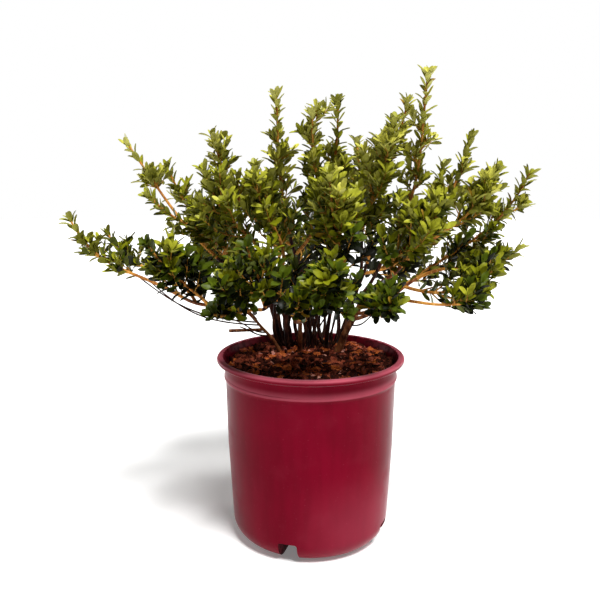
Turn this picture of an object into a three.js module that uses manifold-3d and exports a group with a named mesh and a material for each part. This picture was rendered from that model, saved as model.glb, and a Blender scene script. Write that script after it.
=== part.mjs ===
// An azalea shrub growing in a round plastic nursery pot filled with bark mix.
// Millimetres, +Z up, origin in the middle of the pot's flat underside. The front faces -Y.
// Bearings turn from the front (0) towards +X (90). Stems rise from the mix, fork into thin
// boughs, and each bough carries leafy shoots. Every shoot is one solid in a space of its own.

import * as THREE from "three";
import { mergeVertices } from "three/addons/utils/BufferGeometryUtils.js";
import Module from "manifold-3d";

const wasm = await Module();
wasm.setup();

const gap = 0.3; // left between pieces that touch
const up = new THREE.Vector3(0, 0, 1);
const goldenTurn = Math.PI * (3 - Math.sqrt(5));

const pot = {
  height: 228.6,
  rimRadius: 114.3,
  rimInnerRadius: 107.6,
  lipRound: 3.3,
  wall: 2.2,
  footRadius: 71,
  heelRound: 26,
  wallTop: { radius: 103.7, height: 198 },
  band: { radius: 105.7, bottom: 202, top: 206 },
  neck: { radius: 104.9, bottom: 210, top: 219 },
  turns: 32,
};

const drain = {
  bearings: [-16.8, 68.2, 163.2, 248.2],
  width: 23,
  height: 25.5,
  innerRadius: 44,
  outerRadius: 120,
  slot: { width: 16, depth: 8, radius: 80 },
};

const soil = { crown: 222, crownRadius: 84, edge: 213 };

const stemShape = { forkShare: 0.74, sides: 6, steps: 4 }; // forkShare: the fork's share of the radius
const rootFlare = { extra: 0.45, height: 1 / 6 }; // as shares of the stem's radius and length
const boughShape = { startRadius: 2.5, endRadius: 2.0, sides: 5, steps: 4 };
const leaderShape = { startRadius: 2.0, endRadius: 1.2, sides: 3, steps: 4 };
const twigShape = { startRadius: 1.7, endRadius: 1.1, sides: 3, steps: 2 };

const branching = {
  boughSpacing: 0.14, // between two boughs, as a share of their stem
  shootSpacing: 0.16, // between two shoots, as a share of their bough
  spread: 0.9, // how far a limb on its parent's side turns outwards
  curl: 0.44, // how far a limb's curve holds each end's direction, as a share of its length
  boughSag: 0.18, // below the straight way to its shoots, as a share of its length
  boughSags: { far_left: 0.26, right_low: -0.12, right_front: 0.12, right_outer: -0.06 },
  twigLift: 0.55, // how far a limb turns up towards its end
  leaderLift: 1.1,
  leaderLifts: { left_high: 0.1, left_middle: 0.2, left_rear: 0.4, left_front: 0.3 },
  level: { leastLift: 0.15, below: 290, over: 110 }, // leaders with low tops turn up less
};

const leaf = {
  length: 42,
  width: 19,
  widestAt: 0.52,
  thickness: 1.2,
  fold: 2.4, // how far the two edges stand above the midrib
  root: 0.4, // how far the leaf is sunk past the middle of its twig
};

const growth = {
  leafBeyondTip: 0.92 * leaf.length, // from the end of a shoot's wood to its topmost leaf tip
  twigs: 3,
  firstTwig: 0.16, // where side twigs begin and end along a leader
  lastTwig: 0.78,
  twigLength: 48,
  leaves: 12,
  tries: 72,
  leafyShare: 0.72, // of a twig
  leafMargin: 2.4,
  twigMargin: 3,
  limbClearance: 1.2,
  lowest: 268, // nothing on a side twig hangs below this height
  leavesApart: 17, // between the middles of two leaves
  simplifyTo: 0.08,
};

// A leafy shoot: where its topmost leaf tip stands.
function shoot(name, bearing, reach, height) {
  return { name, bearing, reach, height };
}

// A bough carries its shoots, and is bare for this share of the way to them.
function bough(name, bare, ...shoots) {
  return { name, bare, shoots };
}

const stems = [
  {
    name: "left_outer",
    foot: [-38, 30],
    fork: [-68, 18, 267],
    radius: 2.3,
    stub: { at: 0.72, end: [-97, -15, 261], radius: 1.9 },
    boughs: [
      bough(
        "far_left",
        0.5,
        shoot("far_left_tip", -90, 288, 399),
        shoot("far_left_low", -101, 262, 377),
        shoot("left_front", -60, 204, 380),
      ),
    ],
  },
  {
    name: "left_middle",
    foot: [-27, 46],
    fork: [-36, 26, 286],
    radius: 2.0,
    boughs: [
      bough("left_low", 0.36, shoot("left_low", -43, 160, 304), shoot("front_low_left", -33, 165, 350)),
    ],
  },
  {
    name: "left_inner",
    foot: [-38, 66],
    fork: [-54, 72, 290],
    radius: 4.6,
    boughs: [
      bough("left_middle", 0.42, shoot("left_high", -95, 222, 486), shoot("left_middle", -78, 190, 427)),
      bough("left_back", 0.4, shoot("left_rear", -108, 191, 459), shoot("rear_left_low", -141, 238, 370)),
      bough("rear_left", 0.42, shoot("rear_left", -152, 159, 462), shoot("rear_low", 178, 238, 365)),
    ],
  },
  {
    name: "centre_front",
    foot: [-13, 32],
    fork: [-12, 6, 276],
    radius: 2.9,
    boughs: [
      bough("left_top", 0.42, shoot("upper_left", -63, 133, 457), shoot("upper_left_inner", -52, 81, 451)),
      bough("front_left", 0.36, shoot("front_left", -24, 164, 385), shoot("front_foot", -6, 126, 322)),
    ],
  },
  {
    name: "centre",
    foot: [2, 58],
    fork: [-6, 50, 296],
    radius: 2.4,
    boughs: [
      bough(
        "top_left",
        0.42,
        shoot("top_left", -104, 42, 542),
        shoot("high_left", -109, 127, 491),
        shoot("top_centre", 3, 31, 522),
      ),
    ],
  },
  {
    name: "centre_right",
    foot: [20, 42],
    fork: [26, 16, 290],
    radius: 3.0,
    boughs: [
      bough(
        "front",
        0.36,
        shoot("front_centre", 8, 121, 455),
        shoot("front_low", 4, 160, 352),
        shoot("upper_front", 60, 104, 511),
      ),
    ],
  },
  {
    name: "right_front",
    foot: [35, 24],
    fork: [60, 0, 290],
    radius: 4.5,
    boughs: [
      bough("right_front", 0.42, shoot("right_front", 72, 213, 457), shoot("front_right", 51, 158, 416)),
      bough("right_low", 0.42, shoot("right_low", 57, 210, 321), shoot("front_right_low", 32, 154, 321)),
      bough(
        "right_outer",
        0.4,
        shoot("right_outer", 91, 254, 363),
        shoot("right_outer_front", 70, 219, 350),
        shoot("far_right", 90, 258, 454),
      ),
    ],
  },
  {
    name: "right_inner",
    foot: [38, 62],
    fork: [60, 68, 292],
    radius: 3.3,
    boughs: [
      bough("right_top", 0.42, shoot("top_right", 109, 124, 538), shoot("top_centre_rear", 140, 48, 537)),
      bough(
        "right_middle",
        0.4,
        shoot("tallest", 81, 132, 566),
        shoot("right_high", 93, 190, 495),
        shoot("right_rear", 110, 179, 461),
      ),
      bough("rear_right", 0.42, shoot("rear_right", 157, 165, 492), shoot("rear_right_low", 139, 238, 372)),
    ],
  },
];

const colours = { pot: 0x7d0a28, soil: 0x3b2416, bark: 0x6f4d2b, leaf: 0x56701f };

// Numbers from 0 to 1 that are the same on every run.
function seeded(seed) {
  let state = (seed * 2654435761) >>> 0;
  const next = () => {
    state = (Math.imul(state, 1664525) + 1013904223) >>> 0;
    return state / 4294967296;
  };
  next();
  return next;
}

function solidOf(geometry) {
  const bare = geometry.clone();
  bare.deleteAttribute("normal");
  bare.deleteAttribute("uv");
  const merged = mergeVertices(bare, 1e-4);
  return new wasm.Manifold(
    new wasm.Mesh({
      numProp: 3,
      vertProperties: merged.attributes.position.array,
      triVerts: new Uint32Array(merged.index.array),
    }),
  );
}

function geometryOf(solid) {
  const mesh = solid.getMesh();
  const geometry = new THREE.BufferGeometry();
  geometry.setAttribute("position", new THREE.BufferAttribute(mesh.vertProperties, mesh.numProp));
  geometry.setIndex(new THREE.BufferAttribute(mesh.triVerts, 1));
  geometry.computeVertexNormals();
  return geometry;
}

function meshOf(name, solid, colour, roughness) {
  const material = new THREE.MeshStandardMaterial({ color: colour, roughness, metalness: 0 });
  const mesh = new THREE.Mesh(geometryOf(solid), material);
  mesh.name = name;
  return mesh;
}

// Whether every edge still joins two faces once the corners are rounded, to a thousandth and to
// a ten-thousandth of a millimetre.
function staysClosed(solid) {
  const { numProp, vertProperties, triVerts } = solid.getMesh();
  const placeOf = (i) => Array.from(vertProperties.subarray(i * numProp, i * numProp + 3));
  return [1e3, 1e4].every((scale) => {
    const corners = Array.from(triVerts, (i) => placeOf(i).map((v) => Math.round(v * scale)).join());
    const edges = new Set();
    let sides = 0;
    for (let i = 0; i < corners.length; i += 3) {
      const face = corners.slice(i, i + 3);
      if (new Set(face).size < 3) continue;
      face.forEach((corner, j) => edges.add(`${corner};${face[(j + 1) % 3]}`));
      sides += 3;
    }
    const paired = (edge) => edges.has(edge.split(";").reverse().join(";"));
    return edges.size === sides && [...edges].every(paired);
  });
}

// Turns a profile, drawn as radius across and height up, about the Z axis.
function turned(profile) {
  return solidOf(new THREE.LatheGeometry(profile.getPoints(2), pot.turns).rotateX(Math.PI / 2));
}

// A box that stands out from the Z axis at a bearing, between two radii and two heights.
function radialBox(bearing, width, innerRadius, outerRadius, bottom, top) {
  const box = new THREE.BoxGeometry(width, outerRadius - innerRadius, top - bottom);
  box.translate(0, -(innerRadius + outerRadius) / 2, (bottom + top) / 2);
  return solidOf(box.rotateZ(THREE.MathUtils.degToRad(bearing)));
}

function drainBoxes(grow) {
  return drain.bearings.map((bearing) =>
    radialBox(
      bearing,
      drain.width + 2 * grow,
      drain.innerRadius - grow,
      drain.outerRadius,
      -1,
      drain.height + grow,
    ),
  );
}

function withoutAll(solid, cuts) {
  return cuts.reduce((left, cut) => left.subtract(cut), solid);
}

// The pot's inside, drawn in by a clearance. finishAtTop adds the points above the wall.
function insideProfile(clearance, finishAtTop) {
  const inset = pot.wall + clearance;
  const profile = new THREE.Path();
  profile.moveTo(0, inset);
  profile.lineTo(pot.footRadius, inset);
  profile.absarc(pot.footRadius, pot.heelRound, pot.heelRound - inset, -Math.PI / 2, 0, false);
  profile.lineTo(pot.wallTop.radius - inset, pot.wallTop.height);
  finishAtTop(profile, inset);
  return profile;
}

function makePot() {
  const lipCentre = { radius: pot.rimRadius - pot.lipRound, height: pot.height - pot.lipRound };
  const outside = new THREE.Path();
  outside.moveTo(0, 0);
  outside.lineTo(pot.footRadius, 0);
  outside.absarc(pot.footRadius, pot.heelRound, pot.heelRound, -Math.PI / 2, 0, false);
  outside.lineTo(pot.wallTop.radius, pot.wallTop.height);
  outside.lineTo(pot.band.radius, pot.band.bottom);
  outside.lineTo(pot.band.radius, pot.band.top);
  outside.lineTo(pot.neck.radius, pot.neck.bottom);
  outside.lineTo(pot.neck.radius, pot.neck.top);
  outside.absarc(lipCentre.radius, lipCentre.height, pot.lipRound, -Math.PI / 2, Math.PI / 2, false);
  outside.lineTo(0, pot.height);

  const above = pot.height + 1;
  const inside = insideProfile(0, (profile, inset) => {
    profile.lineTo(pot.neck.radius - inset, pot.neck.top);
    profile.lineTo(pot.rimInnerRadius, above);
    profile.lineTo(0, above);
  });

  const slots = drain.bearings.map((bearing) => {
    const { width, depth, radius } = drain.slot;
    const through = drain.height + 2 * pot.wall;
    return radialBox(bearing, width, radius - depth / 2, radius + depth / 2, 1, through);
  });
  const hollow = withoutAll(turned(inside), drainBoxes(pot.wall));
  return withoutAll(turned(outside), [...drainBoxes(0), hollow, ...slots]);
}

function makeSoil() {
  const profile = insideProfile(gap, (inner, inset) => {
    inner.lineTo(pot.neck.radius - inset - gap, soil.edge);
    inner.lineTo(soil.crownRadius, soil.crown);
    inner.lineTo(0, soil.crown);
  });
  return withoutAll(turned(profile), drainBoxes(pot.wall + gap));
}

// A limb is a tapering curve from start to end that leaves and arrives along given directions.
function makeLimb({ start, leave, end, arrive, startRadius, endRadius, shape, parent }) {
  const handle = start.distanceTo(end) * branching.curl;
  const curve = new THREE.CubicBezierCurve3(
    start,
    start.clone().addScaledVector(leave, handle),
    end.clone().addScaledVector(arrive, -handle),
    end,
  );
  const radiusAt = (t) => startRadius + (endRadius - startRadius) * t;
  return { curve, radiusAt, shape, parent, line: curve.getPoints(6) };
}

// The closed skin of a limb, with flat ends: rings square to its curve, the first one level on
// a stem's foot.
function skinOf(limb, thicker = 0) {
  const positions = [];
  const index = [];
  const across = new THREE.Vector3(1, 0, 0);
  const { sides, steps } = limb.shape;
  for (let ring = 0; ring <= steps; ring += 1) {
    const t = ring / steps;
    const centre = limb.curve.getPoint(t);
    const along = limb.curve.getTangent(t);
    const radius = limb.radiusAt(t) + thicker;
    if (Math.abs(along.dot(across)) > 0.95) across.set(0, 1, 0);
    across.addScaledVector(along, -along.dot(across)).normalize();
    const side = along.clone().cross(across);
    for (let corner = 0; corner < sides; corner += 1) {
      const angle = (2 * Math.PI * corner) / sides;
      const point = centre.clone().addScaledVector(across, radius * Math.cos(angle));
      point.addScaledVector(side, radius * Math.sin(angle));
      const drop = ring === 0 && !limb.parent ? (centre.z - point.z) / along.z : 0;
      positions.push(...point.addScaledVector(along, drop));
    }
  }
  const last = steps * sides;
  for (let ring = 0; ring < last; ring += sides) {
    for (let corner = 0; corner < sides; corner += 1) {
      const a = ring + corner;
      const b = ring + ((corner + 1) % sides);
      index.push(a, b, b + sides, a, b + sides, a + sides);
    }
  }
  for (let corner = 1; corner < sides - 1; corner += 1) {
    index.push(0, corner + 1, corner, last, last + corner, last + corner + 1);
  }
  const geometry = new THREE.BufferGeometry();
  geometry.setAttribute("position", new THREE.Float32BufferAttribute(positions, 3));
  geometry.setIndex(index);
  return solidOf(geometry);
}

// A limb that leaves its parent's side is cut where the parent runs. A pruned stub stays joined.
function limbSolid(limb) {
  const skin = skinOf(limb);
  if (limb.fromSide) return largestPiece(skin.subtract(skinOf(limb.parent, gap)));
  return limb.stub ? skin.add(skinOf(limb.stub)) : skin;
}

function largestPiece(solid) {
  return solid.decompose().reduce((a, b) => (b.volume() > a.volume() ? b : a));
}

// A parent's first child goes on from its end, and each next one leaves its side lower down.
function growFrom(parent, order, spacing, towards, limbAt) {
  const t = 1 - order * spacing;
  const start = parent.curve.getPoint(t);
  const leave = parent.curve.getTangent(t);
  if (order === 0) {
    start.addScaledVector(leave, gap);
  } else {
    const outward = towards.clone().sub(start);
    outward.addScaledVector(leave, -outward.dot(leave)).normalize();
    leave.multiplyScalar(1 - branching.spread / 2);
    leave.addScaledVector(outward, branching.spread).normalize();
  }
  return { ...makeLimb({ ...limbAt(start), start, leave, parent }), fromSide: order > 0 };
}

function topOf({ bearing, reach, height }) {
  const angle = THREE.MathUtils.degToRad(bearing);
  return new THREE.Vector3(reach * Math.sin(angle), -reach * Math.cos(angle), height);
}

function turnedUp(direction, lift) {
  return direction.clone().normalize().addScaledVector(up, lift).normalize();
}

// A stem stands on the mix and is thickest there, at its root flare.
function growStem({ foot, fork, radius, stub }) {
  const start = new THREE.Vector3(...foot, soil.crown + gap);
  const end = new THREE.Vector3(...fork);
  const arrive = end.clone().sub(start).normalize();
  const leave = turnedUp(arrive, 0.5);
  const endRadius = radius * stemShape.forkShare;
  const limb = makeLimb({ start, leave, end, arrive, startRadius: radius, endRadius, shape: stemShape });
  const taper = limb.radiusAt;
  const flareAt = (t) => rootFlare.extra * Math.max(0, 1 - t / rootFlare.height) ** 2;
  limb.radiusAt = (t) => taper(t) * (1 + flareAt(t));
  if (stub) limb.stub = growStub(limb, stub);
  return limb;
}

// A side branch cut short, straight out to its cut end.
function growStub(stem, { at, end, radius }) {
  const start = stem.curve.getPoint(at);
  const cutEnd = new THREE.Vector3(...end);
  const along = cutEnd.clone().sub(start).normalize();
  return makeLimb({
    start,
    leave: along,
    end: cutEnd,
    arrive: along,
    startRadius: radius,
    endRadius: radius,
    shape: twigShape,
    parent: stem,
  });
}

function growBough(stem, order, plan) {
  const middle = new THREE.Vector3();
  plan.shoots.forEach((one) => middle.addScaledVector(topOf(one), 1 / plan.shoots.length));
  return growFrom(stem, order, branching.boughSpacing, middle, (start) => {
    const end = start.clone().lerp(middle, plan.bare);
    end.z -= (branching.boughSags[plan.name] ?? branching.boughSag) * start.distanceTo(end);
    const arrive = middle.clone().sub(start).normalize();
    return { end, arrive, ...boughShape, shape: boughShape };
  });
}

function growLeader(bough, order, plan) {
  const top = topOf(plan);
  const { leastLift, below, over } = branching.level;
  const most = branching.leaderLifts[plan.name] ?? branching.leaderLift;
  const lift = most * THREE.MathUtils.clamp((top.z - below) / over, leastLift, 1);
  return growFrom(bough, order, branching.shootSpacing, top, (start) => {
    const arrive = turnedUp(top.clone().sub(start), lift);
    const end = top.clone().addScaledVector(arrive, -growth.leafBeyondTip);
    return { end, arrive, ...leaderShape, shape: leaderShape };
  });
}

function distanceToLine(point, line) {
  const along = new THREE.Vector3();
  const offset = new THREE.Vector3();
  let nearest = Infinity;
  for (let i = 1; i < line.length; i += 1) {
    along.subVectors(line[i], line[i - 1]);
    offset.subVectors(point, line[i - 1]);
    const share = THREE.MathUtils.clamp(offset.dot(along) / along.lengthSq(), 0, 1);
    nearest = Math.min(nearest, offset.addScaledVector(along, -share).length());
  }
  return nearest;
}

// A shoot's own space holds the points that lie nearer to its leader than to any other one,
// clear of every limb and well above the pot.
function keepsToSpace(points, own, leaders, limbs, margin) {
  return points.every((point) => {
    const reach = distanceToLine(point, own.line) + margin;
    const alone = leaders.every((one) => one === own || distanceToLine(point, one.line) > reach);
    const clearOf = (limb) => limb.radiusAt(0) + growth.limbClearance;
    const clear = limbs.every((limb) => distanceToLine(point, limb.line) > clearOf(limb));
    return alone && clear && point.z > growth.lowest;
  });
}

// A leaf stands out from its twig at an angle, its upper side towards the twig's end.
function leafFrame(twig, t, turn, lean) {
  const root = twig.curve.getPoint(t);
  const along = twig.curve.getTangent(t);
  const across = new THREE.Vector3(1, 0.3, 0);
  across.addScaledVector(along, -along.dot(across)).normalize();
  const outward = across.applyAxisAngle(along, turn);
  const direction = along.clone().multiplyScalar(Math.cos(lean));
  direction.addScaledVector(outward, Math.sin(lean));
  const face = along.clone().multiplyScalar(Math.sin(lean));
  face.addScaledVector(outward, -Math.cos(lean));
  return { root, direction, face, side: face.clone().cross(direction) };
}

function leafPoints({ root, direction, face, side }, size) {
  const at = (length, width, rise) => {
    const point = root.clone().addScaledVector(direction, length);
    return point.addScaledVector(side, width).addScaledVector(face, rise);
  };
  const middle = leaf.length * leaf.widestAt * size;
  const halfWidth = (leaf.width / 2) * size;
  return {
    base: at(-leaf.root, 0, 0),
    tip: at(leaf.length * size, 0, 0),
    left: at(middle, halfWidth, leaf.fold * size),
    right: at(middle, -halfWidth, leaf.fold * size),
    below: at(middle, 0, -leaf.thickness),
  };
}

// Two faces above, along the straight midrib, and four below.
function leafSolid({ base, tip, left, right, below }) {
  const corners = [base, tip, left, right, below];
  const positions = corners.flatMap((point) => point.toArray());
  const geometry = new THREE.BufferGeometry();
  geometry.setAttribute("position", new THREE.Float32BufferAttribute(positions, 3));
  geometry.setIndex([0, 1, 2, 0, 3, 1, 0, 2, 4, 2, 1, 4, 0, 4, 3, 4, 1, 3]);
  return solidOf(geometry);
}

// Side twigs leave a leader all round it, and curve upwards.
function growTwig(leader, order, random) {
  const share = (order + random()) / growth.twigs;
  const t = growth.firstTwig + (growth.lastTwig - growth.firstTwig) * share;
  const start = leader.curve.getPoint(t);
  const { direction } = leafFrame(leader, t, order * goldenTurn + random(), 0.75 + 0.25 * random());
  const length = growth.twigLength * (1 - 0.35 * t) * (0.75 + 0.5 * random());
  const arrive = turnedUp(direction, branching.twigLift);
  const end = start.clone().addScaledVector(direction, length / 2);
  end.addScaledVector(arrive, length / 2);
  const curve = { start, leave: direction, end, arrive };
  return makeLimb({ ...curve, ...twigShape, shape: twigShape, parent: leader });
}

// Leaves are thin on the lower wood of a twig and crowd together at its end.
function growLeaf(twig, order, count, random) {
  const t = 1 - growth.leafyShare * (order / count) ** 1.25;
  const lean = 0.45 + 0.55 * (order / count) + 0.2 * random();
  const frame = leafFrame(twig, Math.min(t, 0.985), order * goldenTurn + 0.6 * random(), lean);
  return leafPoints(frame, 0.82 + 0.3 * random());
}

function growShoot(leader, leaders, limbs, seed) {
  const random = seeded(seed);
  const free = (points, margin) => keepsToSpace(points, leader, leaders, limbs, margin);
  const twigs = [leader];
  for (let order = 0; order < growth.twigs; order += 1) {
    const twig = growTwig(leader, order, random);
    if (free(twig.line.slice(1), growth.twigMargin)) twigs.push(twig);
  }
  const leaves = [];
  const rounds = growth.tries / twigs.length;
  for (let order = 0; order < rounds; order += 1) {
    for (const twig of twigs) {
      const points = growLeaf(twig, order, rounds, random);
      const { tip, left, right, below } = points;
      const apart = leaves.every((one) => below.distanceTo(one.below) > growth.leavesApart);
      if (apart && leaves.length < growth.leaves && free([tip, left, right, below], growth.leafMargin)) {
        leaves.push(points);
      }
    }
  }
  const solids = [...twigs.map(limbSolid), ...leaves.map(leafSolid)];
  const shoot = solids.reduce((fused, next) => {
    const grown = fused.add(next).simplify(growth.simplifyTo);
    return staysClosed(grown) ? grown : fused;
  });
  return largestPiece(shoot);
}

function growShrub() {
  const limbs = [];
  const leaders = [];
  for (const stem of stems) {
    const trunk = growStem(stem);
    limbs.push({ name: `stem_${stem.name}`, limb: trunk });
    stem.boughs.forEach((plan, boughOrder) => {
      const limb = growBough(trunk, boughOrder, plan);
      limbs.push({ name: `bough_${plan.name}`, limb });
      plan.shoots.forEach((one, shootOrder) => {
        leaders.push({ name: `foliage_${one.name}`, limb: growLeader(limb, shootOrder, one) });
      });
    });
  }
  const limbCurves = limbs.map((one) => one.limb);
  const leaderCurves = leaders.map((one) => one.limb);
  const shrub = new THREE.Group();
  limbs.forEach(({ name, limb }) => shrub.add(meshOf(name, limbSolid(limb), colours.bark, 0.85)));
  leaders.forEach(({ name, limb }, i) => {
    const shoot = growShoot(limb, leaderCurves, limbCurves, i + 1);
    shrub.add(meshOf(name, shoot, colours.leaf, 0.5));
  });
  return shrub;
}

const pottedAzalea = new THREE.Group();
pottedAzalea.add(meshOf("pot", makePot(), colours.pot, 0.35));
pottedAzalea.add(meshOf("soil", makeSoil(), colours.soil, 0.95));
pottedAzalea.add(growShrub());

export default pottedAzalea;
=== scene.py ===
import math
import random

import bpy
import numpy as np
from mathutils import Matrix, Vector, noise


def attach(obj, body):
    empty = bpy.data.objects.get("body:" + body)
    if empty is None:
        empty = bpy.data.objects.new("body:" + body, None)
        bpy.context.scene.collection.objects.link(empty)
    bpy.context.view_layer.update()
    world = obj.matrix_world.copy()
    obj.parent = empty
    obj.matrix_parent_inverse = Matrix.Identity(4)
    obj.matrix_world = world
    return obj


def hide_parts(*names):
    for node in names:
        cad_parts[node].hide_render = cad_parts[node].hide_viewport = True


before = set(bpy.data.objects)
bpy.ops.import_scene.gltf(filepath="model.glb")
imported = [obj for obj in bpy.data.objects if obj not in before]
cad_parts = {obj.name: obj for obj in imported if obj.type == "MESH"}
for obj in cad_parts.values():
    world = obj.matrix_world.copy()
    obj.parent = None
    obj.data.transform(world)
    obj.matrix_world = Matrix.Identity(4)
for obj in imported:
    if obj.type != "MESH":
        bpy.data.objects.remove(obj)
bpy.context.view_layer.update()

# A potted azalea. Sizes are in millimetres as the shrub's plan gives them, and meshes in metres.
# The front faces -Y. Bearings turn from the front (0) towards +X (90).

mm = 0.001
goldenTurn = math.pi * (3 - math.sqrt(5))
zAxis = np.array([0.0, 0.0, 1.0])


class Sock:
    # a node's output that reads as a number: an expression on it adds its Math nodes
    def __init__(self, maker, socket):
        self.maker = maker
        self.socket = socket

    def combine(self, operation, first, second):
        return self.maker.value("ShaderNodeMath", {"operation": operation}, {0: first, 1: second})

    def __add__(self, other):
        return self.combine("ADD", self, other)

    def __radd__(self, other):
        return self.combine("ADD", other, self)

    def __sub__(self, other):
        return self.combine("SUBTRACT", self, other)

    def __rsub__(self, other):
        return self.combine("SUBTRACT", other, self)

    def __mul__(self, other):
        return self.combine("MULTIPLY", self, other)

    def __rmul__(self, other):
        return self.combine("MULTIPLY", other, self)


class NodeMaker:
    # adds nodes to one tree: settings go on first, then the values or links of the sockets
    def __init__(self, tree):
        self.tree = tree

    def node(self, kind, settings=None, sockets=None):
        made = self.tree.nodes.new(kind)
        for name, value in (settings or {}).items():
            setattr(made, name, value)
        for name, value in (sockets or {}).items():
            if isinstance(value, Sock):
                self.link(value, made.inputs[name])
            else:
                made.inputs[name].default_value = value
        return made

    def link(self, value, socket):
        self.tree.links.new(value.socket, socket)

    def value(self, kind, settings=None, sockets=None, output=0):
        return Sock(self, self.node(kind, settings, sockets).outputs[output])


class Finish(NodeMaker):
    # a material: constants stand on the shader's own sockets
    def __init__(self, name, constants):
        self.material = bpy.data.materials.new(name)
        self.material.use_nodes = True
        super().__init__(self.material.node_tree)
        self.shader = self.tree.nodes["Principled BSDF"]
        for socket, value in constants.items():
            self.shader.inputs[socket].default_value = value
        self.place = self.value("ShaderNodeTexCoord", output=3)

    def feed(self, socket, value):
        self.link(value, self.shader.inputs[socket])

    def axis(self, order):
        return self.value("ShaderNodeSeparateXYZ", None, {0: self.place}, output=order)

    def grain(self, size, detail=3.0, stretch=(1, 1, 1), shift=(0, 0, 0)):
        # noise whose lumps are about this many millimetres across
        sockets = {"Vector": self.place, "Scale": stretch, "Location": shift}
        moved = self.value("ShaderNodeMapping", None, sockets)
        sockets = {"Vector": moved, "Scale": 1 / (size * mm), "Detail": detail}
        return self.value("ShaderNodeTexNoise", None, sockets)

    def step(self, value, low, high):
        # 0 below low, 1 above high, smooth between
        sockets = {"Value": value, "From Min": low, "From Max": high}
        return self.value("ShaderNodeMapRange", {"interpolation_type": "SMOOTHSTEP"}, sockets)

    def past(self, value, span):
        # the same for a place, with both ends in millimetres
        return self.step(value, span[0] * mm, span[1] * mm)

    def blend(self, share, first, second):
        sockets = {0: share, 6: colourOf(first), 7: colourOf(second)}
        return self.value("ShaderNodeMix", {"data_type": "RGBA"}, sockets, output=2)

    def bump(self, height, depth, under=None):
        sockets = {"Height": height, "Distance": depth * mm, "Strength": 1.0}
        if under:
            sockets["Normal"] = under
        return self.value("ShaderNodeBump", None, sockets)


def colourOf(colour):
    if isinstance(colour, Sock):
        return colour
    return (*colour, 1.0)


def srgb(red, green, blue):
    # screen values from 0 to 255 as a linear colour
    def linear(value):
        share = value / 255
        return share / 12.92 if share <= 0.04045 else ((share + 0.055) / 1.055) ** 2.4

    return (linear(red), linear(green), linear(blue))


def placed(name, data):
    made = bpy.data.objects.new(name, data)
    bpy.context.scene.collection.objects.link(made)
    return made


def meshPiece(name, points, faces):
    # points in millimetres
    mesh = bpy.data.meshes.new(name)
    mesh.from_pydata([tuple(float(v) * mm for v in point) for point in points], [], faces)
    mesh.validate()
    return placed(name, mesh)


def addAttribute(mesh, name, kind, values, domain="POINT"):
    field = "vector" if kind == "FLOAT_VECTOR" else "value"
    mesh.attributes.new(name, kind, domain).data.foreach_set(field, values)


def smoothed(piece, sharpFrom):
    piece.data.shade_smooth()
    piece.data.set_sharp_from_angle(angle=math.radians(sharpFrom))
    return piece


def finished(piece):
    # the piece as its modifiers leave it, in a plain mesh
    graph = bpy.context.evaluated_depsgraph_get()
    mesh = bpy.data.meshes.new_from_object(piece.evaluated_get(graph))
    piece.modifiers.clear()
    old = piece.data
    piece.data = mesh
    bpy.data.meshes.remove(old)
    mesh.name = piece.name
    return piece


def without(piece, cutters):
    for cutter in cutters:
        cut = piece.modifiers.new("cut", "BOOLEAN")
        cut.operation = "DIFFERENCE"
        cut.solver = "EXACT"
        cut.object = cutter
    bpy.context.view_layer.update()
    return finished(piece)


def dropped(pieces):
    # helper pieces go, with their meshes
    for piece in pieces:
        mesh = piece.data
        bpy.data.objects.remove(piece)
        bpy.data.meshes.remove(mesh)


def handOver(piece, nodes):
    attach(piece, "root")
    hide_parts(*nodes)


class NodeTree(NodeMaker):
    # a geometry tree with named inputs, set on a modifier by their identifiers
    def __init__(self, name, inputs):
        group = bpy.data.node_groups.new(name, "GeometryNodeTree")
        super().__init__(group)
        group.interface.new_socket("Geometry", in_out="OUTPUT", socket_type="NodeSocketGeometry")
        for label, kind in {"Geometry": "Geometry", **inputs}.items():
            group.interface.new_socket(label, in_out="INPUT", socket_type="NodeSocket" + kind)
        self.entry = group.nodes.new("NodeGroupInput")

    def given(self, label):
        return Sock(self, self.entry.outputs[label])

    def attribute(self, name, kind):
        return self.value("GeometryNodeInputNamedAttribute", {"data_type": kind}, {"Name": name})

    def close(self, geometry, underside=None):
        # underside: the faces that take a material of their own
        coated = self.value("GeometryNodeRealizeInstances", None, {"Geometry": geometry})
        coats = {"Material": True}
        if underside:
            coats["Underside"] = underside
        for label, faces in coats.items():
            sockets = {"Geometry": coated, "Selection": faces, "Material": self.given(label)}
            coated = self.value("GeometryNodeSetMaterial", None, sockets)
        self.node("NodeGroupOutput", None, {"Geometry": coated})

    def applyTo(self, piece, values):
        grown = piece.modifiers.new("grown", "NODES")
        grown.node_group = self.tree
        for item in self.tree.interface.items_tree:
            if item.in_out == "INPUT" and item.name in values:
                grown[item.identifier] = values[item.name]
        bpy.context.view_layer.update()
        return finished(piece)


# The pot: a turned shell with a rolled lip, a groove and a ridge below it, and four
# recesses round the foot, each with a drain slot. Pairs are a radius and a height.

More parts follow.
